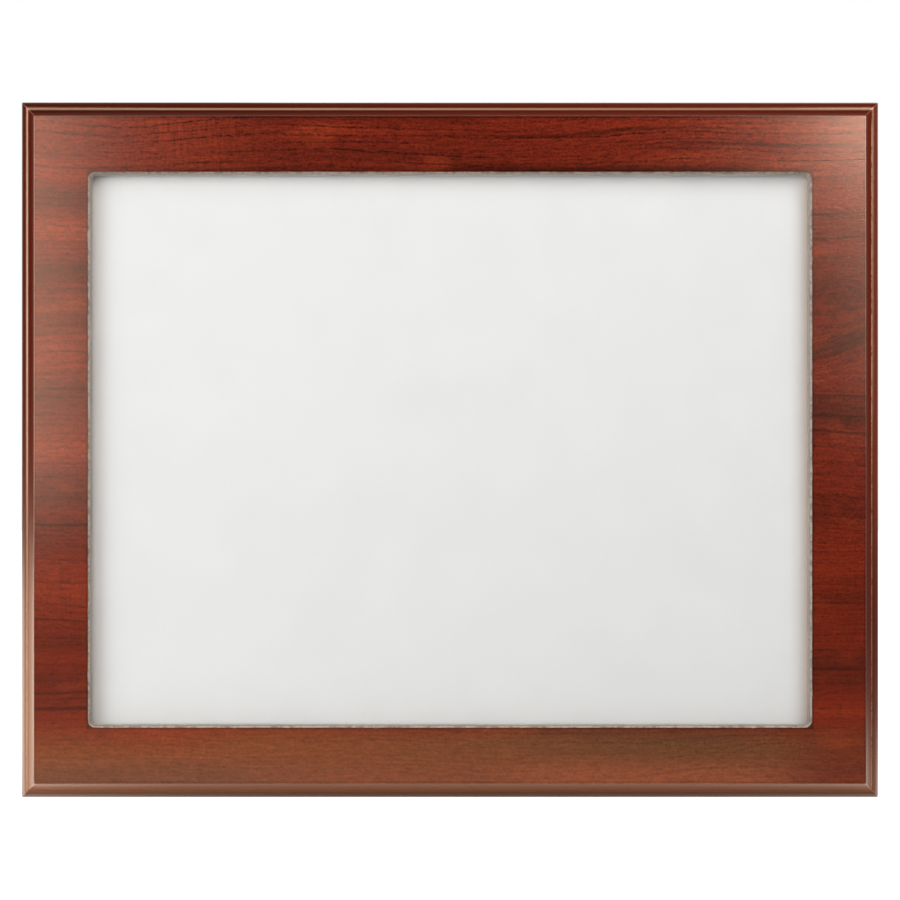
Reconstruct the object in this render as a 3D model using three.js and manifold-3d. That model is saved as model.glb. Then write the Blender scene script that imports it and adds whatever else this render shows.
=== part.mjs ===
// Plaque frame for one letter-size sheet, to be hung on a wall wide or tall.
// One routed fibreboard carries a printed woodgrain foil on its face and edge. A pane, the sheet,
// a filler and a backing panel lie in a pocket behind its window, and turn buttons on screws hold them in.
// Sizes are in millimetres. While a piece is drawn, x runs to the right and y up as the frame is seen
// from the front, and z runs from the back of the board (z = 0) towards the viewer.

import * as THREE from "three";
import { mergeVertices } from "three/addons/utils/BufferGeometryUtils.js";
import Module from "manifold-3d";

// Sheet on show, and how far the window covers its edge
const sheetWidth = 279.4;
const sheetHeight = 215.9;
const sheetThickness = 0.3;
const sightOverlap = 3.175;

// Board: top and bottom rails, upright stiles
const railWidth = 28.575;
const stileWidth = 27.775;
const boardThickness = 15.9;
const lipThickness = 5;
const windowCornerRadius = 2.75;
const easedEdge = 0.5;

// Foil
const foilThickness = 0.4;
const glueLine = 0.05;

// Routed edge, from the face outwards: quirk, cove, ledge, step and bead
const quirkDepth = 0.6;
const coveWidth = 3.65;
const coveDepth = 4.8;
const ledgeWidth = 0.7;
const stepDepth = 0.8;
const beadWidth = 3;
const beadDepth = 4.5;
const arcSteps = 10;

// Rear pocket and what lies in it
const pocketSlack = 0.3;
const pocketCornerRadius = 3;
const layerGap = 0.1;
const paneThickness = 2;
const backingThickness = 3.2;
const backingRecess = 0.2;

// Turn buttons
const buttonThickness = 1.2;
const buttonRadius = 6;
const buttonTipRadius = 3.5;
const buttonGrip = 6;
const buttonSetback = 8;
const buttonBevel = 0.2;
const wideButtonSpacing = 160;
const tallButtonSpacing = 110;
const runningGap = 0.1;

// Button screws
const screwShankRadius = 1.5;
const screwDepth = 10;
const screwPointLength = 2.5;
const screwHeadRadius = 3;
const screwHeadHeight = 1.9;
const recessLength = 3.2;
const recessWidth = 0.8;
const recessDepth = 1;

// Sawtooth hangers
const hangerLength = 46;
const hangerHeight = 10;
const hangerThickness = 0.8;
const hangerRaise = 1.8;
const hangerFootLength = 9;
const toothPitch = 2.6;
const toothDepth = 1.8;

// Hanger nails
const nailShankRadius = 0.8;
const nailDepth = 9;
const nailPointLength = 1.6;
const nailHeadRadius = 2;
const nailHeadHeight = 0.7;

// Wall bumpers
const bumperRadius = 5;
const bumperRounding = 1.2;
const wallClearance = 0.8;

// Fit of screws and nails in their holes
const shankGap = 0.15;
const pilotEndGap = 0.4;

// Sizes that follow
const windowWidth = sheetWidth - 2 * sightOverlap;
const windowHeight = sheetHeight - 2 * sightOverlap;
const boardWidth = windowWidth + 2 * stileWidth;
const boardHeight = windowHeight + 2 * railWidth;
const pocketMargin = pocketSlack + pocketCornerRadius * (1 - Math.SQRT1_2);
const pocketWidth = sheetWidth + 2 * pocketMargin;
const pocketHeight = sheetHeight + 2 * pocketMargin;
const pocketDepth = boardThickness - lipThickness;
const rearRailWidth = (boardHeight - pocketHeight) / 2;
const rearStileWidth = (boardWidth - pocketWidth) / 2;
const coreSkin = foilThickness + glueLine;
const routDepth = quirkDepth + coveDepth + stepDepth + beadDepth;
const buttonReach = buttonSetback + pocketMargin + buttonGrip;
const buttonBack = runningGap + buttonThickness;
const screwHeadBase = buttonBack + runningGap;
const bumperHeight = screwHeadBase + screwHeadHeight + wallClearance;
const nailHeadBase = 2 * layerGap + hangerThickness;
const hangerHoleX = (hangerLength - hangerFootLength) / 2;
const overshoot = 1;

const wasm = await Module();
wasm.setup();

// A closed geometry as a solid that can be joined and cut.
function solidOf(geometry) {
  const bare = geometry.index ? geometry.toNonIndexed() : geometry.clone();
  bare.deleteAttribute("normal");
  bare.deleteAttribute("uv");
  const merged = mergeVertices(bare, 1e-4);
  const mesh = new wasm.Mesh({
    numProp: 3,
    vertProperties: merged.attributes.position.array,
    triVerts: new Uint32Array(merged.index.array),
  });
  return new wasm.Manifold(mesh);
}

// A solid as a geometry with flat faces.
function geometryOf(solid) {
  const mesh = solid.getMesh();
  const geometry = new THREE.BufferGeometry();
  geometry.setAttribute("position", new THREE.BufferAttribute(mesh.vertProperties, 3));
  geometry.setIndex(new THREE.BufferAttribute(mesh.triVerts, 1));
  const faceted = geometry.toNonIndexed();
  faceted.computeVertexNormals();
  return faceted;
}

// One geometry with others cut out of it.
function cut(geometry, cutters) {
  let solid = solidOf(geometry);
  for (const cutter of cutters) {
    solid = solid.subtract(solidOf(cutter));
  }
  return geometryOf(solid);
}

function roundedRectangle(width, height, radius) {
  const x = width / 2;
  const y = height / 2;
  const shape = new THREE.Shape();
  shape.absarc(x - radius, y - radius, radius, 0, Math.PI / 2);
  shape.absarc(radius - x, y - radius, radius, Math.PI / 2, Math.PI);
  shape.absarc(radius - x, radius - y, radius, Math.PI, 1.5 * Math.PI);
  shape.absarc(x - radius, radius - y, radius, 1.5 * Math.PI, 2 * Math.PI);
  shape.closePath();
  return shape;
}

// A flat shape as a slab between two heights.
function slab(shape, from, to) {
  const geometry = new THREE.ExtrudeGeometry(shape, {
    depth: to - from,
    bevelEnabled: false,
    curveSegments: 8,
  });
  geometry.translate(0, 0, from);
  return geometry;
}

function sheetOf(from, to) {
  const geometry = new THREE.BoxGeometry(sheetWidth, sheetHeight, to - from);
  geometry.translate(0, 0, (from + to) / 2);
  return geometry;
}

// A round piece from its profile of radius and height behind the board's back.
// Heights below zero lie in the board.
function turned(profile, segments) {
  const points = profile.map(([radius, height]) => new THREE.Vector2(radius, height));
  const geometry = new THREE.LatheGeometry(points, segments);
  geometry.rotateX(-Math.PI / 2);
  return geometry;
}

// The routed edge as inset from the outer side and height, from the bead up to the face.
// The line lies skin deep below the finished surface.
function routedEdge(skin) {
  const points = [];
  const beadHeight = boardThickness - routDepth;
  const ledgeHeight = boardThickness - quirkDepth - coveDepth - skin;
  for (let i = 0; i <= arcSteps; i++) {
    const angle = ((Math.PI / 2) * i) / arcSteps;
    const inset = beadWidth - (beadWidth - skin) * Math.cos(angle);
    points.push([inset, beadHeight + (beadDepth - skin) * Math.sin(angle)]);
  }
  if (skin > 0) {
    points.push([beadWidth + skin, ledgeHeight - stepDepth]);
  }
  points.push([beadWidth + skin, ledgeHeight]);
  const coveInset = beadWidth + ledgeWidth;
  for (let i = 0; i <= arcSteps; i++) {
    const angle = ((Math.PI / 2) * i) / arcSteps;
    const inset = coveInset + (coveWidth + skin) * Math.sin(angle);
    points.push([inset, boardThickness - quirkDepth - (coveDepth + skin) * Math.cos(angle)]);
  }
  points.push([coveInset + coveWidth + skin, boardThickness - skin]);
  return points;
}

// A rectangular block whose four mitred sides follow the routed edge, skin deep, down to a bottom height.
function routedBlock(skin, bottom) {
  const levels = [[skin, bottom], ...routedEdge(skin)];
  const corners = [new THREE.Vector2(1, -1), new THREE.Vector2(1, 1)];
  corners.push(new THREE.Vector2(-1, 1), new THREE.Vector2(-1, -1));
  const around = corners.length;
  const positions = [];
  const index = [];
  for (const [inset, height] of levels) {
    const x = boardWidth / 2 - inset;
    const y = boardHeight / 2 - inset;
    for (const corner of corners) {
      positions.push(x * corner.x, y * corner.y, height);
    }
  }
  const top = around * (levels.length - 1);
  for (let level = 0; level < top; level += around) {
    for (let side = 0; side < around; side++) {
      const low = level + side;
      const next = level + ((side + 1) % around);
      index.push(low, next, next + around, low, next + around, low + around);
    }
  }
  index.push(2, 1, 0, 3, 2, 0);
  index.push(top, top + 1, top + 2, top, top + 2, top + 3);
  const geometry = new THREE.BufferGeometry();
  geometry.setAttribute("position", new THREE.Float32BufferAttribute(positions, 3));
  geometry.setIndex(index);
  return geometry;
}

// A blind hole from the back of the board for a shank.
function pilotHole(x, y, shankRadius, depth) {
  const radius = shankRadius + shankGap;
  const length = depth + pilotEndGap + overshoot;
  const geometry = new THREE.CylinderGeometry(radius, radius, length, 16);
  geometry.rotateX(Math.PI / 2);
  geometry.translate(x, y, length / 2 - overshoot);
  return geometry;
}

// Fibreboard core with its window, the eased front edge of the window, the rear pocket and the pilot holes.
function boardGeometry(holes) {
  const wallRadius = windowCornerRadius - easedEdge;
  const sight = roundedRectangle(windowWidth - 2 * easedEdge, windowHeight - 2 * easedEdge, wallRadius);
  const pocket = roundedRectangle(pocketWidth, pocketHeight, pocketCornerRadius);
  const ease = new THREE.ExtrudeGeometry(sight, {
    depth: overshoot,
    bevelSize: easedEdge,
    bevelThickness: easedEdge,
    bevelSegments: 1,
    curveSegments: 8,
  });
  ease.translate(0, 0, boardThickness - coreSkin);
  return cut(routedBlock(coreSkin, 0), [
    slab(sight, pocketDepth - overshoot, boardThickness + overshoot),
    slab(pocket, -overshoot, pocketDepth),
    ease,
    ...holes,
  ]);
}

// Foil over the face, the routed edge and the sides, trimmed at the window.
function foilGeometry() {
  const trim = roundedRectangle(windowWidth, windowHeight, windowCornerRadius);
  return cut(routedBlock(0, 0), [
    routedBlock(foilThickness, -overshoot),
    slab(trim, -overshoot, boardThickness + overshoot),
  ]);
}

// Flat steel button that turns about z, its finger along +x.
function buttonGeometry() {
  const tipX = buttonReach - buttonTipRadius;
  const tangent = Math.acos((buttonRadius - buttonTipRadius) / tipX);
  const shape = new THREE.Shape();
  shape.absarc(0, 0, buttonRadius - buttonBevel, tangent, 2 * Math.PI - tangent);
  shape.absarc(tipX, 0, buttonTipRadius - buttonBevel, -tangent, tangent);
  shape.closePath();
  const hole = new THREE.Path();
  hole.absarc(0, 0, screwShankRadius + shankGap + buttonBevel, 0, 2 * Math.PI, true);
  shape.holes.push(hole);
  const geometry = new THREE.ExtrudeGeometry(shape, {
    depth: buttonThickness - 2 * buttonBevel,
    bevelSize: buttonBevel,
    bevelThickness: buttonBevel,
    bevelSegments: 1,
    curveSegments: 9,
  });
  geometry.translate(0, 0, buttonBevel - buttonBack);
  return geometry;
}

// Round-head wood screw with a cross recess.
function screwGeometry() {
  const profile = [
    [0, -screwDepth],
    [screwShankRadius, screwPointLength - screwDepth],
    [screwShankRadius, screwHeadBase],
    [screwHeadRadius, screwHeadBase],
  ];
  const crownSteps = 5;
  for (let i = 1; i <= crownSteps; i++) {
    const angle = ((Math.PI / 2) * i) / crownSteps;
    const radius = i < crownSteps ? screwHeadRadius * Math.cos(angle) : 0;
    profile.push([radius, screwHeadBase + screwHeadHeight * Math.sin(angle)]);
  }
  const arms = [];
  for (const turn of [0, Math.PI / 2]) {
    const arm = new THREE.BoxGeometry(recessLength, recessWidth, recessDepth + overshoot);
    arm.rotateZ(turn);
    arm.translate(0, 0, (recessDepth - overshoot) / 2 - screwHeadBase - screwHeadHeight);
    arms.push(arm);
  }
  return cut(turned(profile, 18), arms);
}

// Sawtooth hanger: a strip with two flat feet and a raised middle, toothed along its lower edge.
function hangerGeometry() {
  const bend = hangerThickness * Math.tan(Math.PI / 8);
  const low = layerGap;
  const high = layerGap + hangerRaise;
  const end = hangerLength / 2;
  const outerX = end - hangerFootLength - bend;
  const innerX = outerX - hangerRaise;
  const section = new THREE.Shape();
  section.moveTo(-end, low);
  section.lineTo(-outerX, low);
  section.lineTo(-innerX, high);
  section.lineTo(innerX, high);
  section.lineTo(outerX, low);
  section.lineTo(end, low);
  section.lineTo(end, low + hangerThickness);
  section.lineTo(outerX + bend, low + hangerThickness);
  section.lineTo(innerX + bend, high + hangerThickness);
  section.lineTo(-innerX - bend, high + hangerThickness);
  section.lineTo(-outerX - bend, low + hangerThickness);
  section.lineTo(-end, low + hangerThickness);
  section.closePath();
  const strip = slab(section, -hangerHeight / 2, hangerHeight / 2);
  strip.rotateX(-Math.PI / 2);
  const notches = Math.floor(innerX / toothPitch - 0.5);
  const teeth = new THREE.Shape();
  const edge = -hangerHeight / 2;
  teeth.moveTo(-(notches + 0.5) * toothPitch, edge);
  teeth.lineTo(-(notches + 0.5) * toothPitch, edge - overshoot);
  teeth.lineTo((notches + 0.5) * toothPitch, edge - overshoot);
  teeth.lineTo((notches + 0.5) * toothPitch, edge);
  for (let i = notches; i >= -notches; i--) {
    teeth.lineTo(i * toothPitch, edge + toothDepth);
    if (i > -notches) {
      teeth.lineTo((i - 0.5) * toothPitch, edge);
    }
  }
  teeth.closePath();
  const cutters = [slab(teeth, -high - hangerThickness - overshoot, overshoot)];
  for (const x of [-hangerHoleX, hangerHoleX]) {
    const radius = nailShankRadius + shankGap;
    const hole = new THREE.CylinderGeometry(radius, radius, hangerThickness + 2 * overshoot, 16);
    hole.rotateX(Math.PI / 2);
    hole.translate(x, 0, -low - hangerThickness / 2);
    cutters.push(hole);
  }
  return cut(strip, cutters);
}

// Flat-head nail.
function nailGeometry() {
  return turned(
    [
      [0, -nailDepth],
      [nailShankRadius, nailPointLength - nailDepth],
      [nailShankRadius, nailHeadBase],
      [nailHeadRadius, nailHeadBase],
      [nailHeadRadius, nailHeadBase + nailHeadHeight],
      [0, nailHeadBase + nailHeadHeight],
    ],
    16,
  );
}

// Round pad with a flat top and a rounded rim.
function bumperGeometry() {
  const profile = [
    [0, layerGap],
    [bumperRadius, layerGap],
  ];
  const rimSteps = 4;
  for (let i = 0; i <= rimSteps; i++) {
    const angle = ((Math.PI / 2) * i) / rimSteps;
    const radius = bumperRadius - bumperRounding * (1 - Math.cos(angle));
    profile.push([radius, bumperHeight - bumperRounding * (1 - Math.sin(angle))]);
  }
  profile.push([0, bumperHeight]);
  return turned(profile, 24);
}

// Places on the back of the board, named as seen from the front. turn points a button's finger at the panel.
const buttonX = pocketWidth / 2 + buttonSetback;
const buttonY = pocketHeight / 2 + buttonSetback;
const buttonPlaces = [
  { name: "top_left", x: -wideButtonSpacing / 2, y: buttonY, turn: -Math.PI / 2 },
  { name: "top_right", x: wideButtonSpacing / 2, y: buttonY, turn: -Math.PI / 2 },
  { name: "bottom_left", x: -wideButtonSpacing / 2, y: -buttonY, turn: Math.PI / 2 },
  { name: "bottom_right", x: wideButtonSpacing / 2, y: -buttonY, turn: Math.PI / 2 },
  { name: "left_upper", x: -buttonX, y: tallButtonSpacing / 2, turn: 0 },
  { name: "left_lower", x: -buttonX, y: -tallButtonSpacing / 2, turn: 0 },
  { name: "right_upper", x: buttonX, y: tallButtonSpacing / 2, turn: Math.PI },
  { name: "right_lower", x: buttonX, y: -tallButtonSpacing / 2, turn: Math.PI },
];
const stileX = (boardWidth - rearStileWidth) / 2;
const railY = (boardHeight - rearRailWidth) / 2;
const hangerPlaces = [
  { name: "wide", x: 0, y: railY, turn: 0 },
  { name: "tall", x: stileX, y: 0, turn: -Math.PI / 2 },
];
const nailPlaces = [
  { name: "wide_left", x: -hangerHoleX, y: railY },
  { name: "wide_right", x: hangerHoleX, y: railY },
  { name: "tall_upper", x: stileX, y: hangerHoleX },
  { name: "tall_lower", x: stileX, y: -hangerHoleX },
];
const bumperPlaces = [
  { name: "top_left", x: -stileX, y: railY },
  { name: "top_right", x: stileX, y: railY },
  { name: "bottom_left", x: -stileX, y: -railY },
  { name: "bottom_right", x: stileX, y: -railY },
];

const frame = new THREE.Group();

function add(name, geometry, look) {
  const mesh = new THREE.Mesh(geometry, new THREE.MeshStandardMaterial(look));
  mesh.name = name;
  frame.add(mesh);
  return mesh;
}

// Board and foil
const pilotHoles = [
  ...buttonPlaces.map(({ x, y }) => pilotHole(x, y, screwShankRadius, screwDepth)),
  ...nailPlaces.map(({ x, y }) => pilotHole(x, y, nailShankRadius, nailDepth)),
];
add("frame_board", boardGeometry(pilotHoles), { color: 0xa8998a, roughness: 0.9, metalness: 0 });
add("woodgrain_foil", foilGeometry(), { color: 0x7a3524, roughness: 0.35, metalness: 0 });

// Layers in the pocket, from the pane back to the backing panel
const paneFront = pocketDepth - layerGap;
const sheetFront = paneFront - paneThickness - layerGap;
const fillerFront = sheetFront - sheetThickness - layerGap;
const backingFront = backingRecess + backingThickness;
add("glazing_pane", sheetOf(paneFront - paneThickness, paneFront), {
  color: 0xffffff,
  roughness: 0.1,
  metalness: 0,
  transparent: true,
  opacity: 0.15,
});
add("insert_sheet", sheetOf(sheetFront - sheetThickness, sheetFront), {
  color: 0xececec,
  roughness: 0.9,
  metalness: 0,
});
add("filler_board", sheetOf(backingFront + layerGap, fillerFront), {
  color: 0xb08c60,
  roughness: 0.95,
  metalness: 0,
});
add("backing_panel", sheetOf(backingRecess, backingFront), { color: 0x5a4230, roughness: 0.8, metalness: 0 });

// Turn buttons and their screws
const button = buttonGeometry();
const screw = screwGeometry();
for (const { name, x, y, turn } of buttonPlaces) {
  const plate = add("turn_button_" + name, button, { color: 0xb9b7b0, roughness: 0.35, metalness: 1 });
  plate.position.set(x, y, 0);
  plate.rotation.z = turn;
  const fixing = add("button_screw_" + name, screw, { color: 0xc9b070, roughness: 0.35, metalness: 1 });
  fixing.position.set(x, y, 0);
}

// Hangers and their nails
const hanger = hangerGeometry();
for (const { name, x, y, turn } of hangerPlaces) {
  const strip = add("sawtooth_hanger_" + name, hanger, { color: 0xb9a063, roughness: 0.4, metalness: 1 });
  strip.position.set(x, y, 0);
  strip.rotation.z = turn;
}
const nail = nailGeometry();
for (const { name, x, y } of nailPlaces) {
  const pin = add("hanger_nail_" + name, nail, { color: 0xb9a063, roughness: 0.4, metalness: 1 });
  pin.position.set(x, y, 0);
}

// Bumpers
const bumper = bumperGeometry();
for (const { name, x, y } of bumperPlaces) {
  const pad = add("wall_bumper_" + name, bumper, { color: 0x2a2a2a, roughness: 0.8, metalness: 0 });
  pad.position.set(x, y, 0);
}

// The frame stands up with its face towards -Y and its right side towards +X.
// The origin is on the wall, where a nail meets the middle notch of the hanger on the top rail.
const hangPointHeight = railY - hangerHeight / 2 + toothDepth;
frame.rotation.x = Math.PI / 2;
frame.position.set(0, -bumperHeight, -hangPointHeight);

const part = new THREE.Group();
part.add(frame);

export default part;
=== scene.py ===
import math
import random

import bmesh
import bpy
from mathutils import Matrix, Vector, noise


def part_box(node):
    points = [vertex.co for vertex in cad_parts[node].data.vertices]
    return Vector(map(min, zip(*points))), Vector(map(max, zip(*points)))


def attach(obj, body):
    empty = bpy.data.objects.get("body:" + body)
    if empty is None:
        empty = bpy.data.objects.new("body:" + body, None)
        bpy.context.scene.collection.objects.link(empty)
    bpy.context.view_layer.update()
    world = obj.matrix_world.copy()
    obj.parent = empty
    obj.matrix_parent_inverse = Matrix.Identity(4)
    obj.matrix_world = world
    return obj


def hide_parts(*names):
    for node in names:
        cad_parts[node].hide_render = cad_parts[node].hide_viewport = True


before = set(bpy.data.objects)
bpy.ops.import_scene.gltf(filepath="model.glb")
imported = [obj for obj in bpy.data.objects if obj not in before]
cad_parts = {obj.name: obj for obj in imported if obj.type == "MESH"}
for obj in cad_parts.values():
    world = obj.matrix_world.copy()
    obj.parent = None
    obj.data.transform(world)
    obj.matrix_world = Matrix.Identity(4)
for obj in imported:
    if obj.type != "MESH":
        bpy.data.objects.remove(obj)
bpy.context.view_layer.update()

MM = 0.001
low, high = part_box("woodgrain_foil")
CENTRE_Z = (low[2] + high[2]) / 2
HALF_W = (high[0] - low[0]) / 2
HALF_H = (high[2] - low[2]) / 2
FACE_Y = low[1]
BACK_Y = high[1]
THICK = BACK_Y - FACE_Y

# Window as the foil is trimmed, and the routed edge, as on the solids
STILE = 27.775 * MM
RAIL = 28.575 * MM
WINDOW_HALF_W = HALF_W - STILE
WINDOW_HALF_H = HALF_H - RAIL
WINDOW_RADIUS = 2.75 * MM
FOIL = 0.4 * MM
QUIRK_DEPTH = 0.6 * MM
COVE_WIDTH = 3.65 * MM
COVE_DEPTH = 4.8 * MM
COVE_START = math.radians(25)
LEDGE_WIDTH = 0.7 * MM
STEP_DEPTH = 0.8 * MM
BEAD_WIDTH = 3.0 * MM
BEAD_DEPTH = 4.5 * MM
ROUT_WIDTH = BEAD_WIDTH + LEDGE_WIDTH + COVE_WIDTH

# The foil's finer form: rounded arrises and mitres on its outer and inner side, and the steps of its curves
OUTER_ROUND = 0.22 * MM
INNER_ROUND = 0.05 * MM
OUTER_MITRE = 0.45 * MM
INNER_MITRE = 0.1 * MM
OUTER_STEPS = 18
INNER_STEPS = 10
ROUND_STEPS = 4
MITRE_STEPS = 5
FACE_MARGIN = 0.3 * MM
CRISP_DEGREES = 32

# The trimmed edge at the window: its points, its slow wander, and its chips, with gaps and widths in points
TRIM_PITCH = 0.7 * MM
TRIM_CORNER_STEPS = 8
TRIM_SEED = 7
TRIM_WANDER = 0.05 * MM
TRIM_LUMPS = 260
TRIM_NOISE_LEVEL = 3.0
TRIM_OVERHANG = 0.03 * MM
CHIP_GAP = (14, 70)
CHIP_WIDTH = (1, 3)
CHIP_DEPTH = (0.05 * MM, 0.22 * MM)

# Camera, floor and lamps, in metres from the middle of the frame
CAMERA_DISTANCE = 0.520
CAMERA_DROP = 0.0001
LENS = 55.2
SENSOR = 36.0
FLOOR_DROP = 0.25
FLOOR_HALF = 6.0
FILL_Y = -0.70
BOX_Y = -0.66


def linear(red, green, blue):
    """A colour given in display steps of 0 to 255, as the shaders take it."""
    out = []
    for step in (red, green, blue):
        c = step / 255
        out.append(c / 12.92 if c <= 0.04045 else ((c + 0.055) / 1.055) ** 2.4)
    return (*out, 1.0)


def grey(tone):
    """An even grey of this strength."""
    return (tone, tone, tone, 1.0)


# The foil's print, from its dark red to the orange of its patches
ORANGE = linear(145, 51, 20)
GRAIN_REDS = [
    (0.30, linear(60, 16, 6)),
    (0.42, linear(89, 23, 8)),
    (0.50, linear(107, 27, 9)),
    (0.58, linear(122, 33, 12)),
    (0.70, ORANGE),
]
DEEPER_RED = (1.0, 0.55, 0.35, 1.0)

# The browns of the bottom rail: left and right, olive right of the middle, and along its lower edge
FOOT_LEFT = linear(142, 80, 44)
FOOT_RIGHT = linear(121, 78, 46)
FOOT_OLIVE = linear(88, 78, 50)
FOOT_EDGE_LEFT = linear(101, 73, 55)
FOOT_EDGE_RIGHT = linear(146, 82, 54)
FOOT_EDGE_WARM = linear(174, 95, 64)

# The moulding, with painted reflection on its lower side and painted highlights up its right side, its
# painted highlight lines, and painted shade on its lower lip
MOULDING_RED = linear(92, 28, 12)
MOULDING_BELOW_PAINTED_REFLECTION = linear(136, 74, 44)
MOULDING_COVE_PAINTED_HIGHLIGHT = linear(110, 38, 17)
MOULDING_BEAD_PAINTED_HIGHLIGHT = linear(124, 54, 30)
# Painted highlights on the ledge and on the face's edge
LEDGE_PAINTED_HIGHLIGHT = linear(204, 166, 136)
EDGE_PAINTED_HIGHLIGHT = linear(190, 140, 118)
LIP_PAINTED_SHADE = linear(52, 30, 18)
FOIL_SHEEN = (1.0, 0.68, 0.50, 1.0)
PAPER_PAINTED_WARM_LIGHT = (1.0, 0.84, 0.74, 1.0)

# Light and dark parts of the figure, as millimetres from the middle and a tone from 0 to 1: up each stile,
# and along each rail from left to right
TONE_REACH = 330 * MM
LEFT_TONES = [
    (-100, 0.65), (-88, 0.25), (-66, 0.65), (-53, 0.80), (-38, 0.28), (-25, 0.46), (-14, 0.28),
    (3, 0.68), (14, 0.20), (24, 0.30), (32, 0.70), (43, 0.65), (56, 0.40), (68, 0.25), (84, 0.75), (96, 0.45),
]
RIGHT_TONES = [
    (-100, 0.70), (-87, 0.35), (-70, 0.60), (-57, 0.48), (-43, 0.84), (-25, 0.52), (-3, 0.68),
    (9, 0.35), (19, 0.32), (27, 0.48), (36, 0.32), (40, 0.05), (45, 0.30), (56, 0.46), (67, 0.66),
    (79, 0.54), (94, 0.70), (102, 0.35),
]
TOP_TONES = [
    (-158, 0.82), (-125, 0.68), (-95, 0.58), (-75, 0.58), (-40, 0.52), (0, 0.46), (40, 0.56),
    (75, 0.58), (110, 0.62), (140, 0.66), (158, 0.60),
]
BOTTOM_TONES = [
    (-158, 0.65), (-110, 0.78), (-60, 0.68), (0, 0.52), (60, 0.45), (110, 0.42), (158, 0.48),
]


class Shader:
    """The nodes of a material or a world, with short calls for those that it needs."""

    def __init__(self, block):
        self.block = block
        block.use_nodes = True
        self.tree = block.node_tree
        self.tree.nodes.clear()
        self.place = None

    def new(self, kind, inputs=(), **settings):
        """A node with these settings, and with a number, a colour or another node's output at each input."""
        node = self.tree.nodes.new(kind)
        for key, value in settings.items():
            setattr(node, key, value)
        for key, value in dict(inputs).items():
            if isinstance(value, bpy.types.NodeSocket):
                self.tree.links.new(value, node.inputs[key])
            else:
                node.inputs[key].default_value = value
        return node

    def xyz(self):
        """The point on the object, in metres, as three values."""
        if self.place is None:
            where = self.new("ShaderNodeTexCoord")
            split = self.new("ShaderNodeSeparateXYZ", {0: where.outputs["Object"]})
            self.place = [split.outputs[i] for i in range(3)]
        return self.place

    def math(self, operation, a, b=0.0, c=0.0):
        return self.new("ShaderNodeMath", {0: a, 1: b, 2: c}, operation=operation).outputs[0]

    def add(self, first, *others):
        for other in others:
            first = self.math("ADD", first, other)
        return first

    def sub(self, a, b):
        return self.math("SUBTRACT", a, b)

    def mul(self, first, *others):
        for other in others:
            first = self.math("MULTIPLY", first, other)
        return first

    def flip(self, value):
        """1 minus the value."""
        return self.sub(1.0, value)

    def noise(self, x, y, z, detail=2.0, rough=0.5, seed=0.0):
        """Smooth noise of 0 to 1 over the three values, one lump per unit."""
        point = self.new("ShaderNodeCombineXYZ", {0: x, 1: y, 2: z}).outputs[0]
        node = self.new(
            "ShaderNodeTexNoise",
            {"Vector": point, "W": seed, "Scale": 1.0, "Detail": detail, "Roughness": rough},
            noise_dimensions="4D",
        )
        return node.outputs["Fac"]

    def grit(self, scale_x, scale_y, scale_z, detail=2.0, rough=0.5, seed=0.0):
        """Noise over the object's own place, with these lumps to the metre along each axis."""
        scales = (scale_x, scale_y, scale_z)
        x, y, z = [self.mul(value, scale) for value, scale in zip(self.xyz(), scales)]
        return self.noise(x, y, z, detail, rough, seed)

    def span(self, value, start, end, to_start=0.0, to_end=1.0):
        """value carried from one span to another, smoothly, and held at its ends."""
        node = self.new(
            "ShaderNodeMapRange",
            {"Value": value, "From Min": start, "From Max": end, "To Min": to_start, "To Max": to_end},
            interpolation_type="SMOOTHSTEP",
        )
        return node.outputs[0]

    def band(self, value, start, end, soft):
        """1 between start and end, falling to 0 over soft on both sides."""
        rise = self.span(value, start - soft, start)
        fall = self.span(self.sub(value, end), 0.0, soft, 1.0, 0.0)
        return self.mul(rise, fall)

    def swell(self, value, middle, width):
        """1 at the middle, falling away to both sides as a bell curve."""
        off = self.math("DIVIDE", self.sub(value, middle), width)
        return self.math("EXPONENT", self.mul(off, off, -1.0))

    def mix(self, factor, a, b, blend="MIX"):
        node = self.new("ShaderNodeMix", {0: factor, 6: a, 7: b}, data_type="RGBA", blend_type=blend)
        return node.outputs[2]

    def ramp(self, value, stops):
        node = self.new("ShaderNodeValToRGB", {0: value})
        elements = node.color_ramp.elements
        while len(elements) < len(stops):
            elements.new(0.5)
        for element, (position, colour) in zip(elements, stops):
            element.position = position
            element.color = colour
        return node.outputs[0]

    def shade(self, colour, factor):
        """colour times a value that varies over the surface."""
        even = self.new("ShaderNodeCombineColor", {0: factor, 1: factor, 2: factor}).outputs[0]
        return self.mix(1.0, colour, even, "MULTIPLY")

    def bump(self, height, strength, distance):
        node = self.new("ShaderNodeBump", {"Strength": strength, "Distance": distance, "Height": height})
        return node.outputs[0]

    def finish(self, **inputs):
        """A lone shader with these inputs, and the finished material."""
        named = {key.replace("_", " "): value for key, value in inputs.items()}
        body = self.new("ShaderNodeBsdfPrincipled", named)
        self.new("ShaderNodeOutputMaterial", {0: body.outputs[0]})
        return self.block


def new_shader(name):
    return Shader(bpy.data.materials.new(name))


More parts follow.
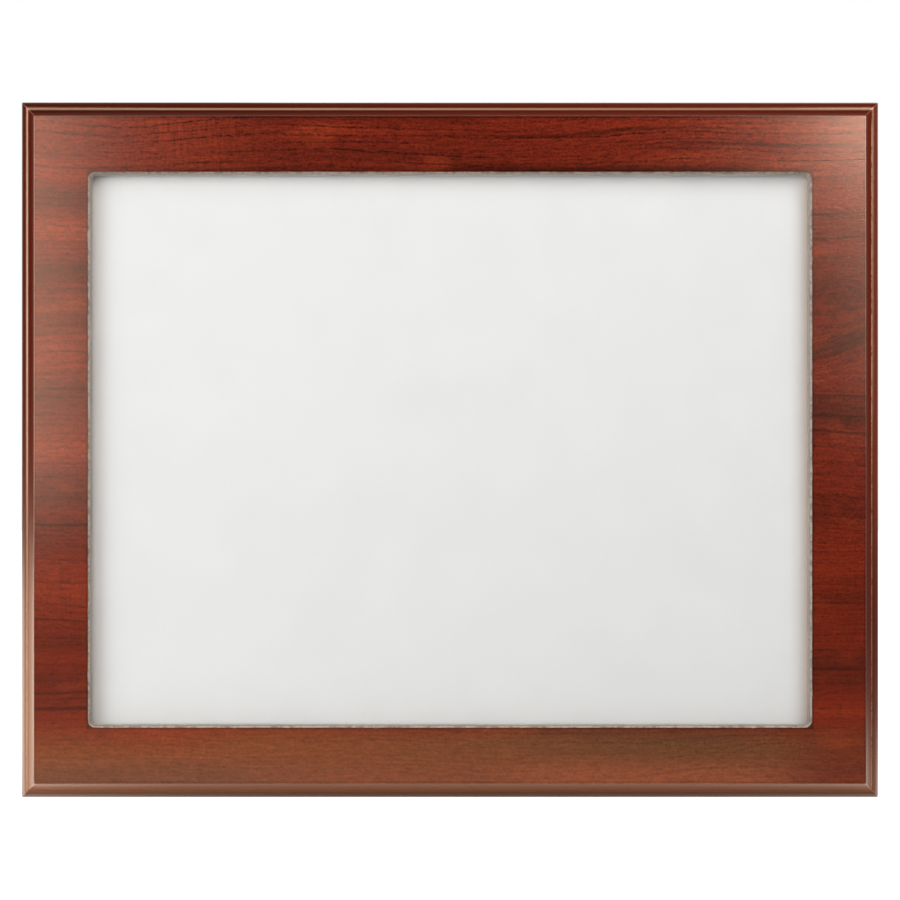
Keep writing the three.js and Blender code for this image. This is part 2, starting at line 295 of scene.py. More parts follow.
class Foil(Shader):
    """The woodgrain foil's nodes, with where a point lies on the frame, from its middle."""

    def __init__(self):
        super().__init__(bpy.data.materials.new("woodgrain_foil"))
        self.x, self.y, above_origin = self.xyz()
        self.z = self.sub(above_origin, CENTRE_Z)
        reach_x = self.math("ABSOLUTE", self.x)
        reach_z = self.math("ABSOLUTE", self.z)
        # In from the outer side, and out from the window
        self.side_x = self.sub(HALF_W, reach_x)
        self.side_z = self.sub(HALF_H, reach_z)
        self.inset = self.math("MINIMUM", self.side_x, self.side_z)
        self.out_x = self.sub(reach_x, WINDOW_HALF_W)
        self.out_z = self.sub(reach_z, WINDOW_HALF_H)
        self.on_face = self.span(self.inset, ROUT_WIDTH - 0.6 * MM, ROUT_WIDTH + 0.4 * MM)
        self.upright = self.math("LESS_THAN", self.side_x, self.side_z)
        self.left = self.math("LESS_THAN", self.x, 0.0)
        self.top = self.math("GREATER_THAN", self.z, 0.0)

    def either(self, switch, yes, no):
        """yes where the switch is 1, and no where it is 0."""
        return self.add(self.mul(switch, yes), self.mul(self.flip(switch), no))

    def by_side(self, on_left, on_right, on_top, below):
        """One of four values, by the side on which the point lies."""
        sides = self.either(self.left, on_left, on_right)
        ends = self.either(self.top, on_top, below)
        return self.either(self.upright, sides, ends)

    def grain(self, x, z, scale_x, scale_z, detail=2.0, rough=0.5, seed=0.0):
        """Noise over the print, with these lumps to the metre along and across the grain."""
        return self.noise(self.mul(x, scale_x), 0.0, self.mul(z, scale_z), detail, rough, seed)

    def around_zero(self, *place, **settings):
        """The same noise, about zero."""
        return self.sub(self.grain(*place, **settings), 0.5)


def grain_height(s):
    """A point's height in the level figure: with the bends alone, and with the slow drift too."""
    eye_x, eye_z, slope_z = 0.147, 0.0555, 0.040
    eye = s.mul(s.swell(s.x, eye_x, 0.016), s.swell(s.z, eye_z, 0.011))
    opened = s.mul(s.sub(s.z, eye_z), eye, -0.75)
    sloped = s.mul(s.sub(s.x, eye_x), s.swell(s.z, slope_z, 0.009), s.span(s.x, 0.10, 0.13, 0.0, -0.45))
    waver = s.mul(s.around_zero(s.x, s.z, 45, 90, 2.0, seed=2.0), 0.0016)
    drift = s.mul(s.around_zero(s.x, s.z, 9, 11, 1.0, seed=1.0), 0.016)
    bent = s.add(s.z, opened, sloped, waver)
    return bent, s.add(bent, drift)


def flame(s):
    """1 on the rippled orange patch of the top rail, weaker below it and low on the left stile."""
    level = s.mul(s.swell(s.x, -0.102, 0.024), s.span(s.z, 0.080, 0.105, 0.3, 1.0))
    upright = s.mul(s.swell(s.z, -0.055, 0.012), s.left, 0.7)
    return s.math("MAXIMUM", level, upright)


def figure_tone(s, bent):
    """The tone of the broad bands: up the stiles by the bent figure, and along the rails."""
    def tone_along(value, tones):
        place = s.math("MULTIPLY_ADD", value, 1 / TONE_REACH, 0.5)
        return s.ramp(place, [(0.5 + mm * MM / TONE_REACH, grey(tone)) for mm, tone in tones])

    on_stile = s.band(s.z, -0.098, 0.098, 0.008)
    upright = s.either(s.left, tone_along(bent, LEFT_TONES), tone_along(bent, RIGHT_TONES))
    level = s.either(s.top, tone_along(s.x, TOP_TONES), tone_along(s.x, BOTTOM_TONES))
    return s.either(on_stile, upright, level)


def brown_foot(s, colour):
    """The bottom rail in browns over the grain's own colour, which stays more at its red ends."""
    amount = s.mul(s.span(s.z, -0.100, -0.112, 0.0, 0.62), s.span(s.x, 0.115, 0.150, 1.0, 0.35))
    red_end = s.mul(s.span(s.x, -0.070, -0.110, 0.0, 0.45), s.span(s.z, -0.118, -0.109))
    amount = s.mul(amount, s.flip(red_end))
    brown = s.mix(s.span(s.x, -0.12, 0.08), FOOT_LEFT, FOOT_RIGHT)
    olive = s.mul(s.band(s.x, 0.030, 0.090, 0.035), s.span(s.z, -0.119, -0.106, 0.0, 0.75))
    brown = s.mix(olive, brown, FOOT_OLIVE)
    edge = s.mix(s.span(s.x, -0.100, -0.030), FOOT_EDGE_LEFT, FOOT_EDGE_RIGHT)
    edge = s.mix(s.band(s.x, 0.045, 0.105, 0.040), edge, FOOT_EDGE_WARM)
    brown = s.mix(s.span(s.z, -0.113, -0.124, 0.0, 0.8), brown, edge)
    return s.mix(amount, colour, brown)


def grain_colour(s, bent, v):
    """Broad bands in red and brown, orange patches, a browner foot, and a deeper red along the top rail."""
    cloud = s.grain(s.x, v, 4.0, 60, 3.0, 0.55, seed=3.0)
    bands = s.mul(s.sub(figure_tone(s, bent), 0.5), 0.34)
    colour = s.ramp(s.add(0.5, s.mul(s.sub(cloud, 0.5), 0.55), bands), GRAIN_REDS)
    patch = s.span(s.grain(s.x, v, 26, 70, 2.0, seed=4.0), 0.54, 0.72, 0.0, 0.6)
    patch = s.math("MAXIMUM", patch, s.mul(flame(s), 0.35))
    colour = brown_foot(s, s.mix(patch, colour, ORANGE))
    deep = s.mul(s.band(s.x, -0.100, 0.070, 0.050), s.span(s.z, 0.098, 0.106, 0.0, 0.5))
    return s.mix(deep, colour, s.mix(1.0, colour, DEEPER_RED, "MULTIPLY"))


def grain_marks(s, v):
    """Dashed pore lines, most on the top rail, thin long streaks and finer marks: the shade they give to
    the face, their relief, and the finest specks."""
    wander = s.grain(s.x, v, 14, 90, 2.0, seed=5.0)
    phase = s.add(s.mul(v, 300), s.mul(wander, 1.8))
    across = s.math("ABSOLUTE", s.sub(s.math("FRACT", phase), 0.5))
    dashes = s.span(s.grain(s.x, v, 430, 900, 3.0, 0.65, seed=6.0), 0.40, 0.58, 0.1, 1.0)
    by_line = s.grain(s.x, s.math("FLOOR", phase), 9, 5.3, 1.0, seed=7.0)
    amount = s.add(s.span(s.z, -0.118, -0.098, 0.15, 0.5), s.span(s.z, 0.095, 0.108, 0.0, 0.5))
    lines = s.mul(s.span(across, 0.0, 0.20, 1.0, 0.0), dashes, s.span(by_line, 0.36, 0.56, 0.1, 1.0), amount)
    streaks = s.span(s.grain(s.x, v, 3.5, 330, 1.0, seed=15.0), 0.62, 0.72)
    streaks = s.mul(streaks, s.span(s.z, -0.118, -0.098, 0.2, 1.0))
    pores = s.span(s.grain(s.x, v, 330, 2100, 2.0, 0.6, seed=8.0), 0.55, 0.70)
    speck = s.around_zero(s.x, s.z, 900, 1100, 2.0, 0.7, seed=9.0)
    mottle = s.around_zero(s.x, v, 210, 900, 3.0, 0.6, seed=14.0)
    fibre = s.around_zero(s.x, v, 25, 1300, 2.0, 0.6, seed=16.0)
    ripple = s.mul(s.around_zero(s.x, s.z, 1150, 120, 1.0, 0.5, seed=10.0), flame(s))

    shade = s.mul(
        s.flip(s.mul(lines, 0.75)),
        s.flip(s.mul(streaks, 0.50)),
        s.flip(s.mul(pores, amount, 0.60)),
    )
    stronger_above = s.span(s.z, -0.090, 0.0, 0.85, 1.45)
    texture = s.mul(stronger_above, s.add(s.mul(speck, 1.3), s.mul(mottle, 1.3), s.mul(fibre, 0.7)))
    shade = s.mul(shade, s.add(1.0, texture, s.mul(ripple, 1.1)))
    relief = s.add(s.mul(lines, -0.5), s.mul(pores, -0.5), s.mul(speck, 0.35))
    return shade, relief, speck


def darker_places(s, shade):
    """Darkens the foil in a faint line just inside the face's edge, towards the window's edge, and in some
    longer stretches of the face.
    """
    shade = s.add(1.0, s.mul(s.sub(shade, 1.0), s.on_face))
    edge_line = s.band(s.inset, ROUT_WIDTH + 0.55 * MM, ROUT_WIDTH + 0.9 * MM, 0.25 * MM)
    shade = s.mul(shade, s.flip(s.mul(edge_line, 0.25)))
    rim = s.by_side(0.9 * MM, 0.9 * MM, 2.6 * MM, 0.9 * MM)
    from_window = s.math("MAXIMUM", s.out_x, s.out_z)
    shade = s.mul(shade, s.span(from_window, 0.15 * MM, rim, 0.55, 1.0))

    # Left of the window, above it, under the top moulding, and a streak in the top rail
    beside = s.mul(s.left, s.band(s.z, 0.040, 0.085, 0.025), s.span(s.out_x, 0.5 * MM, 7.0 * MM, 0.22, 0.0))
    above = s.mul(s.top, s.band(s.x, 0.020, 0.100, 0.030), s.span(s.out_z, 0.5 * MM, 5.5 * MM, 0.55, 0.0))
    crown = s.mul(s.top, s.band(s.x, -0.148, 0.148, 0.006), s.span(s.side_z, 7.4 * MM, 9.8 * MM, 0.36, 0.0))
    streak = s.mul(s.band(s.x, -0.070, 0.000, 0.020), s.span(s.z, 0.1205, 0.1235, 0.0, 0.26))
    for dark in (beside, above, crown, streak):
        shade = s.mul(shade, s.flip(s.mul(dark, s.on_face)))
    # Along the top moulding: darker to the left and lighter to the right
    top_moulding = s.mul(s.top, s.flip(s.on_face), s.flip(s.upright))
    return s.mul(shade, s.add(1.0, s.mul(top_moulding, s.span(s.x, -0.15, 0.10, -0.25, 0.22))))


def moulding_colour(s):
    """Dark red, browner below from a painted reflection, and lighter up the right side from painted
    highlights.
    """
    colour = s.mix(s.by_side(0.0, 0.0, 0.0, 1.0), MOULDING_RED, MOULDING_BELOW_PAINTED_REFLECTION)
    # Painted highlight: a lighter cove and bead up the upper half of the right side
    lit = s.mix(s.span(s.inset, 3.1 * MM, 2.7 * MM), MOULDING_COVE_PAINTED_HIGHLIGHT, MOULDING_BEAD_PAINTED_HIGHLIGHT)
    return s.mix(s.by_side(0.0, s.span(s.z, -0.075, 0.0), 0.0, 0.0), colour, lit)


def painted_edge_highlights(s, colour):
    """Painted highlights as pale lines: along the ledge, most on the left and broken on the right, along the
    face's edge, and down the mitres.
    """
    # Noise that breaks up the painted highlight line on the right side
    chips = s.span(s.grain(s.x, s.z, 420, 420, 3.0, 0.7, seed=12.0), 0.36, 0.56, 0.25, 1.0)
    soft = s.span(s.grain(s.x, s.z, 12, 12, 1.0, seed=13.0), 0.3, 0.7, 0.7, 1.0)
    broken = s.mul(chips, s.span(s.z, -0.10, 0.0, 0.45, 0.85), s.span(s.z, 0.127, 0.122))
    along = s.sub(s.inset, s.by_side(0.0, 0.6 * MM, 0.3 * MM, 0.0))
    end = s.by_side(3.4 * MM, 3.25 * MM, 3.7 * MM, 3.4 * MM)
    ledge = s.mul(s.band(along, 3.05 * MM, end, 0.2 * MM), soft)
    colour = s.mix(s.mul(ledge, s.by_side(0.85, broken, 0.62, 0.05)), colour, LEDGE_PAINTED_HIGHLIGHT)
    # Strength of the painted highlight on the left arris, weaker low down
    arris_highlight = s.span(s.z, -0.060, -0.030, 0.1, 0.6)
    edge = s.band(s.inset, ROUT_WIDTH - 0.05 * MM, ROUT_WIDTH + 0.2 * MM, 0.2 * MM)
    colour = s.mix(s.mul(edge, s.by_side(arris_highlight, 0.15, 0.12, 0.1)), colour, EDGE_PAINTED_HIGHLIGHT)
    mitre = s.span(s.math("ABSOLUTE", s.sub(s.side_x, s.side_z)), 0.1 * MM, 0.4 * MM, 0.3, 0.0)
    return s.mix(s.mul(mitre, s.flip(s.on_face)), colour, EDGE_PAINTED_HIGHLIGHT)


def foil_material():
    """Red-brown woodgrain print on the face, with a level figure, and a moulding with painted highlight lines
    along its edges.
    """
    s = Foil()
    bent, v = grain_height(s)
    marks, relief, speck = grain_marks(s, v)
    colour = s.mix(s.flip(s.on_face), grain_colour(s, bent, v), moulding_colour(s))
    colour = painted_edge_highlights(s, s.shade(colour, darker_places(s, marks)))

    # Painted shade makes the lower lip darker, and it is duller; the outer flank is duller too
    lip = s.mul(s.span(s.inset, 5.4 * MM, 2.2 * MM), s.by_side(0.0, 0.0, 0.0, 1.0))
    colour = s.mix(s.mul(lip, 0.85), colour, LIP_PAINTED_SHADE)
    flank = s.span(s.y, FACE_Y + 10.6 * MM, FACE_Y + 11.8 * MM, 0.0, 0.34)
    rough = s.add(0.21, flank, s.mul(lip, 0.3), s.mul(speck, s.on_face, 0.10))
    return s.finish(
        Base_Color=colour,
        Roughness=rough,
        Normal=s.bump(s.mul(relief, s.on_face), 0.18, 0.0001),
        Specular_IOR_Level=0.5,
        Specular_Tint=FOIL_SHEEN,
    )


def core_material():
    """Raw fibreboard: grey-beige felted fibre. In the window it is torn and paler at the front edge, with
    painted light making it paler by the pane, most on the lower wall, and painted shade making it darker
    above."""
    s = new_shader("fibreboard")
    _, y, z = s.xyz()
    fibre = s.grit(900, 1600, 900, 3.0, 0.65, seed=1.0)
    cloud = s.grit(60, 60, 60, 2.0, seed=2.0)
    colour = s.ramp(
        fibre,
        [
            (0.30, linear(133, 122, 111)),
            (0.50, linear(158, 147, 135)),
            (0.72, linear(180, 169, 157)),
        ],
    )
    colour = s.shade(colour, s.span(cloud, 0.3, 0.7, 0.92, 1.06))
    rise = s.sub(z, CENTRE_Z)
    # Painted light: paler by the pane, in full on the lower wall and weaker elsewhere
    painted_light_strength = s.span(rise, 1.2 * MM - WINDOW_HALF_H, 0.2 * MM - WINDOW_HALF_H, 0.3, 1.0)
    inner = s.band(y, FACE_Y + 3.4 * MM, FACE_Y + 5.2 * MM, 1.2 * MM)
    colour = s.shade(colour, s.add(1.0, s.mul(inner, painted_light_strength)))
    front = s.span(y, FACE_Y + 0.9 * MM, FACE_Y + 1.6 * MM, 1.0, 0.0)
    torn = s.span(s.grit(420, 420, 420, 3.0, 0.7, seed=3.0), 0.38, 0.58)
    pale = s.mix(torn, linear(148, 133, 123), linear(193, 179, 168))
    # Painted shade: darker at the front of the upper wall
    upper = s.span(rise, WINDOW_HALF_H - 1.2 * MM, WINDOW_HALF_H - 0.2 * MM, 0.0, 0.3)
    upper = s.mul(upper, s.span(y, FACE_Y + 2.2 * MM, FACE_Y + 3.4 * MM, 1.0, 0.0))
    return s.finish(
        Base_Color=s.shade(s.mix(front, colour, pale), s.flip(upper)),
        Roughness=s.span(fibre, 0.3, 0.7, 0.82, 0.95),
        Normal=s.bump(fibre, 0.5, 0.0002),
    )


def pane_material():
    """Clear pane with a faint haze and a few specks of dust."""
    s = new_shader("clear_acrylic")
    dust = s.span(s.grit(700, 700, 700, 2.0, 0.6, seed=1.0), 0.72, 0.78)
    lint = s.span(s.grit(40, 40, 40, 1.0, seed=2.0), 0.55, 0.7)
    haze = s.grit(16, 16, 16, 3.0, seed=3.0)
    specks = s.mul(dust, lint)
    return s.finish(
        Base_Color=s.mix(specks, linear(238, 240, 240), linear(250, 250, 248)),
        Roughness=s.span(haze, 0.3, 0.7, 0.12, 0.22),
        Alpha=s.add(s.span(haze, 0.3, 0.7, 0.026, 0.036), s.mul(specks, 0.5)),
    )


def paper_material():
    """Matte white sheet with a soft mottle, and painted warm light beside the stiles."""
    s = new_shader("white_paper")
    mottle = s.grit(55, 55, 55, 4.0, 0.6, seed=1.0)
    fibre = s.grit(1400, 1400, 1400, 2.0, seed=2.0)
    colour = s.ramp(mottle, [(0.25, linear(236, 236, 235)), (0.75, linear(241, 241, 240))])
    colour = s.shade(colour, s.span(fibre, 0.3, 0.7, 0.985, 1.0))
    x = s.xyz()[0]
    # Painted warm light, as bounced from the window's walls, beside the stiles and stronger close to the
    # right one
    painted_warm_light = s.span(s.math("ABSOLUTE", x), WINDOW_HALF_W - 8.0 * MM, WINDOW_HALF_W, 0.0, 0.35)
    painted_warm_light = s.add(painted_warm_light, s.span(x, WINDOW_HALF_W - 2.6 * MM, WINDOW_HALF_W, 0.0, 0.65))
    colour = s.mix(painted_warm_light, colour, s.mix(1.0, colour, PAPER_PAINTED_WARM_LIGHT, "MULTIPLY"))
    return s.finish(Base_Color=colour, Roughness=0.85, Normal=s.bump(fibre, 0.08, 0.0001))


def card_material():
    """Brown corrugated card with its flutes showing through the liner."""
    s = new_shader("corrugated_card")
    flute_pitch = 6.2 * MM
    x = s.xyz()[0]
    flutes = s.add(s.mul(s.math("SINE", s.mul(x, 2 * math.pi / flute_pitch)), 0.5), 0.5)
    fibre = s.grit(500, 500, 1500, 3.0, 0.6, seed=1.0)
    colour = s.ramp(fibre, [(0.3, linear(150, 116, 80)), (0.7, linear(186, 150, 110))])
    colour = s.shade(colour, s.span(flutes, 0.0, 1.0, 0.93, 1.03))
    return s.finish(Base_Color=colour, Roughness=0.9, Normal=s.bump(flutes, 0.2, 0.0003))


def hardboard_material():
    """Dark pressed hardboard with a screen texture and pale fibres."""
    s = new_shader("hardboard")
    mesh_pitch = 1.6 * MM
    x, _, z = s.xyz()
    clump = s.grit(120, 120, 120, 4.0, 0.65, seed=1.0)
    fibre = s.grit(1500, 1500, 420, 3.0, 0.7, seed=2.0)
    colour = s.ramp(
        clump,
        [
            (0.30, linear(92, 62, 38)),
            (0.50, linear(112, 78, 49)),
            (0.70, linear(131, 94, 61)),
        ],
    )
    colour = s.mix(s.span(fibre, 0.56, 0.72, 0.0, 0.45), colour, linear(168, 132, 94))
    mesh_x, mesh_z = [s.math("SINE", s.mul(value, 2 * math.pi / mesh_pitch)) for value in (x, z)]
    height = s.add(s.mul(mesh_x, mesh_z, 0.4), fibre)
    return s.finish(
        Base_Color=colour,
        Roughness=s.span(fibre, 0.3, 0.7, 0.62, 0.78),
        Normal=s.bump(height, 0.3, 0.0002),
    )


def steel_material(name, dark, light, rough):
    """Plated steel with rolled streaks, scuffs and a duller cast in patches."""
    s = new_shader(name)
    streak = s.grit(260, 260, 2600, 3.0, 0.65, seed=1.0)
    patch = s.grit(150, 150, 150, 3.0, 0.6, seed=2.0)
    colour = s.mix(s.span(streak, 0.3, 0.7), dark, light)
    colour = s.shade(colour, s.span(patch, 0.3, 0.7, 0.84, 1.04))
    finish = s.add(s.span(patch, 0.3, 0.7, rough + 0.1, rough - 0.06), s.mul(s.sub(streak, 0.5), 0.16))
    return s.finish(
        Base_Color=colour,
        Metallic=1.0,
        Roughness=finish,
        Normal=s.bump(streak, 0.12, 0.00005),
    )


def rubber_material():
    """Matte dark rubber with a fine grain and rubbed high spots."""
    s = new_shader("bumper_rubber")
    grain = s.grit(1800, 1800, 1800, 3.0, 0.65, seed=1.0)
    cloud = s.grit(300, 300, 300, 2.0, seed=2.0)
    colour = s.ramp(grain, [(0.3, linear(34, 33, 32)), (0.7, linear(54, 52, 50))])
    colour = s.mix(s.span(cloud, 0.55, 0.75, 0.0, 0.4), colour, linear(78, 75, 72))
    return s.finish(
        Base_Color=colour,
        Roughness=s.span(grain, 0.3, 0.7, 0.62, 0.8),
        Normal=s.bump(grain, 0.25, 0.0001),
    )


def rout_profile(skin, steps, round_over):
    """The routed edge as inset and height above the back, skin deep, with its sharp edges rounded over."""
    cove_top = THICK - QUIRK_DEPTH
    ledge = cove_top - COVE_DEPTH - skin
    bead_base = cove_top - COVE_DEPTH - STEP_DEPTH - BEAD_DEPTH
    points = [(skin, 0.0)]

    def arris(inset, height):
        for i in range(ROUND_STEPS + 1):
            angle = math.pi / 2 * i / ROUND_STEPS
            step_in = round_over * (1 - math.cos(angle))
            points.append((inset + step_in, height - round_over * (1 - math.sin(angle))))

    for i in range(steps + 1):
        angle = math.pi / 2 * i / steps
        inset = BEAD_WIDTH - (BEAD_WIDTH - skin) * math.cos(angle)
        points.append((inset, bead_base + (BEAD_DEPTH - skin) * math.sin(angle)))
    riser = BEAD_WIDTH + skin
    if skin > 0:
        points.append((riser, ledge - STEP_DEPTH))
    arris(riser, ledge)
    start = BEAD_WIDTH + LEDGE_WIDTH
    for i in range(steps + 1):
        angle = COVE_START + (math.pi / 2 - COVE_START) * i / steps
        along = (math.sin(angle) - math.sin(COVE_START)) / (1 - math.sin(COVE_START))
        drop = math.cos(angle) / math.cos(COVE_START)
        points.append((start + (COVE_WIDTH + skin) * along, cove_top - (COVE_DEPTH + skin) * drop))
    edge = start + COVE_WIDTH + skin
    arris(edge, THICK - skin)
    points.append((edge + round_over + FACE_MARGIN, THICK - skin))
    return points


def corner_loop(half_w, half_h, radius, segments):
    """A rectangle with rounded corners, anticlockwise as seen from the front."""
    loop = []
    for turn, (sx, sz) in enumerate([(1, 1), (-1, 1), (-1, -1), (1, -1)]):
        for i in range(segments + 1):
            angle = math.pi / 2 * (turn + i / segments)
            px = sx * (half_w - radius) + radius * math.cos(angle)
            pz = sz * (half_h - radius) + radius * math.sin(angle)
            loop.append((px, pz))
    return loop


def trim_loop():
    """The foil's trimmed edge round the window: a slightly wandering line with small chips."""
    loop = corner_loop(WINDOW_HALF_W, WINDOW_HALF_H, WINDOW_RADIUS, TRIM_CORNER_STEPS)
    points = []
    for i, (ax, az) in enumerate(loop):
        bx, bz = loop[(i + 1) % len(loop)]
        count = max(1, round(math.hypot(bx - ax, bz - az) / TRIM_PITCH))
        for k in range(count):
            points.append((ax + (bx - ax) * k / count, az + (bz - az) * k / count))
    random.seed(TRIM_SEED)
    chips = [0.0] * len(points)
    at = 0
    while at < len(points):
        at += random.randint(*CHIP_GAP)
        width = random.randint(*CHIP_WIDTH)
        depth = random.uniform(*CHIP_DEPTH)
        for k in range(-width, width + 1):
            place = (at + k) % len(points)
            chips[place] = max(chips[place], depth * (1 - abs(k) / (width + 1)))
    out = []
    for (px, pz), chip in zip(points, chips):
        where = Vector((px * TRIM_LUMPS, pz * TRIM_LUMPS, TRIM_NOISE_LEVEL))
        push = chip + max(TRIM_WANDER * noise.noise(where), -TRIM_OVERHANG)
        nx = max(0.0, abs(px) - (WINDOW_HALF_W - WINDOW_RADIUS)) * (1 if px > 0 else -1)
        nz = max(0.0, abs(pz) - (WINDOW_HALF_H - WINDOW_RADIUS)) * (1 if pz > 0 else -1)
        length = math.hypot(nx, nz) or 1.0
        out.append((px + push * nx / length, pz + push * nz / length))
    return out


def sharpen(mesh, degrees):
    """Smooth shading, with edges sharper than this kept crisp."""
    bm = bmesh.new()
    bm.from_mesh(mesh)
    for face in bm.faces:
        face.smooth = True
    for edge in bm.edges:
        edge.smooth = len(edge.link_faces) == 2 and edge.calc_face_angle() < math.radians(degrees)
    bm.to_mesh(mesh)
    bm.free()


def foil_skin():
    """The foil as a closed skin with a finer moulding, rounded mitres and a worn trim line."""
    bm = bmesh.new()
    window = trim_loop()

    def verts(loop, height):
        return [bm.verts.new((px, BACK_Y - height, pz + CENTRE_Z)) for px, pz in loop]

    def rings(profile, mitre):
        out = []
        for inset, height in profile:
            out.append(verts(corner_loop(HALF_W - inset, HALF_H - inset, mitre, MITRE_STEPS), height))
        return out

    def strip(lower, upper):
        count = len(lower)
        for i in range(count):
            j = (i + 1) % count
            bm.faces.new((lower[i], lower[j], upper[j], upper[i]))

    def lid(outer, height):
        inner = verts(window, height)
        edges = []
        for loop in (outer, inner):
            for i, vert in enumerate(loop):
                other = loop[(i + 1) % len(loop)]
                edges.append(bm.edges.get((vert, other)) or bm.edges.new((vert, other)))
        bmesh.ops.triangle_fill(bm, edges=edges, use_beauty=True, normal=(0, -1, 0))
        return inner

    outside = rings(rout_profile(0.0, OUTER_STEPS, OUTER_ROUND), OUTER_MITRE)
    inside = rings(rout_profile(FOIL, INNER_STEPS, INNER_ROUND), INNER_MITRE)
    for side in (outside, inside):
        for lower, upper in zip(side, side[1:]):
            strip(lower, upper)
    front = lid(outside[-1], THICK)
    behind = lid(inside[-1], THICK - FOIL)
    strip(outside[0], inside[0])
    strip(front, behind)
    bmesh.ops.recalc_face_normals(bm, faces=bm.faces)
    mesh = bpy.data.meshes.new("foil_skin")
    bm.to_mesh(mesh)
    bm.free()
    sharpen(mesh, CRISP_DEGREES)
    skin = bpy.data.objects.new("foil_skin", mesh)
    bpy.context.scene.collection.objects.link(skin)
    mesh.materials.append(foil_material())
    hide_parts("woodgrain_foil")
    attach(skin, "frame")


def dress_nodes():
    """Gives each carried-over solid its material."""
    hanger = steel_material("hanger_steel", linear(152, 124, 70), linear(206, 178, 116), 0.32)
    by_start = {
        "frame_board": core_material(),
        "glazing_pane": pane_material(),
        "insert_sheet": paper_material(),
        "filler_board": card_material(),
        "backing_panel": hardboard_material(),
        "turn_button": steel_material("button_steel", linear(158, 158, 154), linear(206, 206, 200), 0.32),
        "button_screw": steel_material("screw_steel", linear(164, 142, 92), linear(212, 190, 136), 0.30),
        "sawtooth_hanger": hanger,
        "hanger_nail": hanger,
        "wall_bumper": rubber_material(),
    }
    for name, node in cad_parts.items():
        for start, material in by_start.items():
            if name.startswith(start):
                node.data.materials.clear()
                node.data.materials.append(material)


def set_camera():
    """Square on to the middle of the frame, at the distance that its size was worked out from."""
    data = bpy.data.cameras.new("camera")
    data.sensor_width = SENSOR
    data.lens = LENS
    data.clip_start = 0.01
    data.dof.use_dof = False
    camera = bpy.data.objects.new("camera", data)
    camera.location = (0.0, FACE_Y - CAMERA_DISTANCE, CENTRE_Z - CAMERA_DROP)
    camera.rotation_euler = (math.pi / 2, 0.0, 0.0)
    bpy.context.scene.collection.objects.link(camera)
    bpy.context.scene.camera = camera


def set_world():
    """White to the camera. To gloss it is a pale backdrop behind the object and a dim room before it."""
    world = bpy.data.worlds.new("studio")
    bpy.context.scene.world = world
    s = Shader(world)
    outward = s.new("ShaderNodeTexCoord").outputs["Generated"]
    _, back, up = s.new("ShaderNodeSeparateXYZ", {0: outward}).outputs
    room = s.span(up, -0.05, 0.18, 0.05, 0.02)
    around = s.span(back, -0.25, 0.25, room, 0.27)
    around = s.span(back, 0.50, 0.90, around, 0.80)
    path = s.new("ShaderNodeLightPath").outputs
    shiny = s.math("MAXIMUM", path["Is Glossy Ray"], path["Is Transmission Ray"])
    lit = s.span(shiny, 0.0, 1.0, 0.265, around)
    seen = s.span(path["Is Camera Ray"], 0.0, 1.0, lit, 1.0)
    sky = s.new("ShaderNodeBackground", {"Color": grey(1.0), "Strength": seen})
    s.new("ShaderNodeOutputWorld", {0: sky.outputs[0]})


def floor_gloss(s, x, y, away):
    """What gloss sees of the floor: brighter ahead, under the frame and to both sides, darker behind."""
    ahead = s.mul(s.span(y, -1.45, -0.95), s.span(y, -0.70, -0.90), s.span(x, -0.6, 0.55, 2.4, 0.3))
    under = s.mul(s.band(y, -0.70, 0.05, 0.20), s.band(x, -0.40, 0.40, 0.20), 0.6)
    slope = s.math("DIVIDE", y, s.math("ABSOLUTE", x))
    slant = s.mul(y, 0.55)
    left = s.mul(
        s.span(s.sub(x, slant), -0.05, -0.45),
        s.span(away, 4.5, 2.8),
        s.span(x, -0.05, -0.40),
        s.span(slope, -0.25, 1.2, 7.4, 0.9),
    )
    behind = s.math("MAXIMUM", s.span(away, 1.25, 0.90, 0.0, 0.85), s.span(slope, 0.95, 1.25, 0.0, 0.75))
    left = s.mul(left, s.flip(s.mul(s.span(y, 0.10, 0.30), behind)))
    right = s.mul(
        s.span(s.add(x, slant), 0.05, 0.45),
        s.span(away, 1.45, 1.05),
        s.span(x, 0.05, 0.40),
        s.span(slope, -0.25, 1.2, 3.6, 0.5),
    )
    return s.add(left, right, ahead, under)


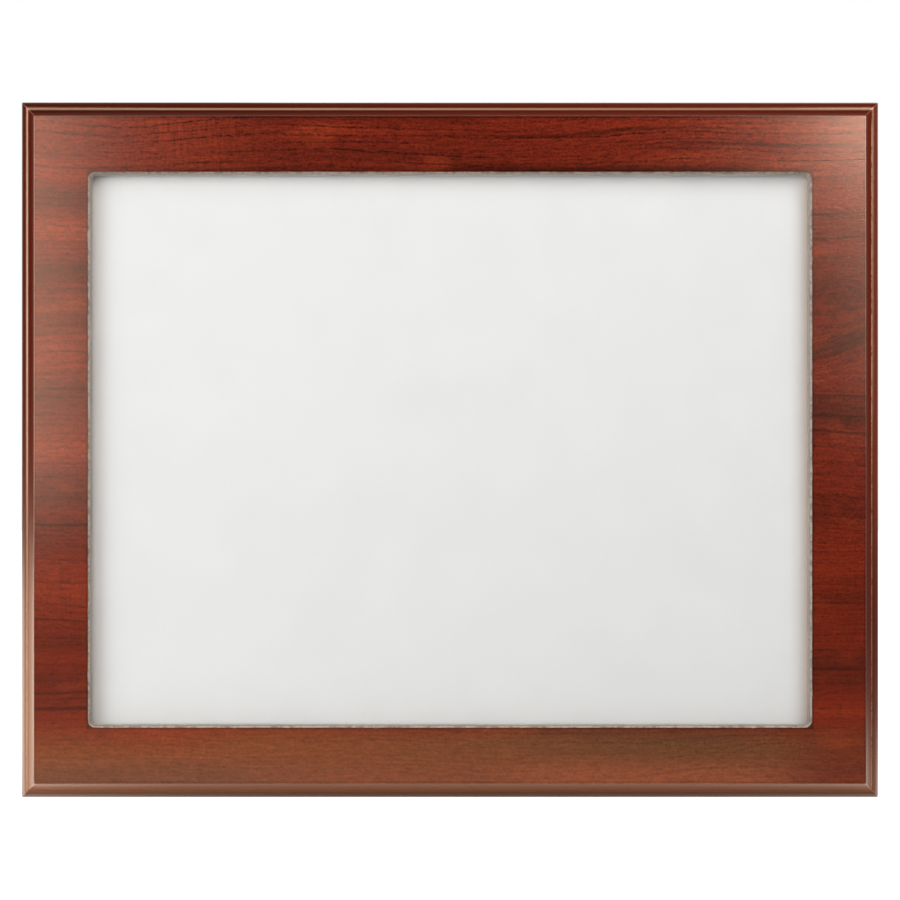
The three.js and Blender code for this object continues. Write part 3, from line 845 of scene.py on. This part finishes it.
def set_floor(z):
    """Pale floor below the hung frame: white where it is lit, and it takes the frame's soft shadow."""
    bm = bmesh.new()
    bmesh.ops.create_grid(bm, x_segments=1, y_segments=1, size=FLOOR_HALF)
    mesh = bpy.data.meshes.new("floor")
    bm.to_mesh(mesh)
    bm.free()
    floor = bpy.data.objects.new("floor", mesh)
    floor.location = (0.0, 0.0, z)
    bpy.context.scene.collection.objects.link(floor)
    s = new_shader("floor")
    path = s.new("ShaderNodeLightPath").outputs
    x, y, _ = s.xyz()
    away = s.math("SQRT", s.add(s.mul(x, x), s.mul(y, y)))
    plain = s.mul(path["Is Camera Ray"], s.span(away, 0.25, 0.6, 0.5, 1.0))
    gloss = s.mul(path["Is Glossy Ray"], floor_gloss(s, x, y, away))
    warm = s.mix(path["Is Glossy Ray"], grey(1.0), (1.0, 0.94, 0.80, 1.0))
    matte = s.new("ShaderNodeBsdfDiffuse", {"Color": grey(0.85)})
    lift = s.new("ShaderNodeEmission", {"Color": warm, "Strength": s.add(plain, gloss)})
    both = s.new("ShaderNodeAddShader", {0: matte.outputs[0], 1: lift.outputs[0]})
    s.new("ShaderNodeOutputMaterial", {0: both.outputs[0]})
    mesh.materials.append(s.block)


def light(name, place, target, width, height, radiance, matte=True, gloss=True):
    """A soft box of this brightness at its face, seen by matte surfaces, by gloss, or by both."""
    data = bpy.data.lights.new(name, "AREA")
    data.shape = "RECTANGLE"
    data.size = width
    data.size_y = height
    data.energy = radiance * math.pi * width * height
    lamp = bpy.data.objects.new(name, data)
    lamp.location = place
    aim = Vector(target) - Vector(place)
    lamp.rotation_euler = aim.to_track_quat("-Z", "Y").to_euler()
    lamp.visible_diffuse = matte
    lamp.visible_glossy = gloss
    bpy.context.scene.collection.objects.link(lamp)


def set_lamps():
    """Soft boxes before the frame, for its matte and its gloss apart, and one behind for both."""
    # Name, place across and up from the middle, width, height and brightness
    for name, x, z, width, height, radiance in [
        ("fill_left", -0.86, 0.0, 0.97, 0.32, 4.9),
        ("fill_right", 0.54, 0.645, 0.54, 0.645, 4.75),
        ("fill_front", -0.05, 0.215, 0.43, 0.27, 3.7),
    ]:
        place, target = (x, FILL_Y, CENTRE_Z + z), (x, 0.0, CENTRE_Z + z)
        light(name, place, target, width, height, radiance, gloss=False)
    for name, x, z, width, height, radiance in [
        ("box_left", -0.505, 0.227, 0.38, 0.56, 6.8),
        ("box_right", 0.43, 0.35, 0.20, 0.22, 21.0),
        ("box_right_low", 0.47, 0.165, 0.22, 0.24, 6.2),
    ]:
        place, target = (x, BOX_Y, CENTRE_Z + z), (x, 0.0, CENTRE_Z + z)
        light(name, place, target, width, height, radiance, matte=False)
    light("box_back", (0.25, 0.75, CENTRE_Z + 0.55), (0.0, FACE_Y, CENTRE_Z), 0.90, 0.90, 1.07)


foil_skin()
dress_nodes()
set_camera()
set_world()
set_floor(low[2] - FLOOR_DROP)
set_lamps()
bpy.context.scene.view_settings.view_transform = "Standard"
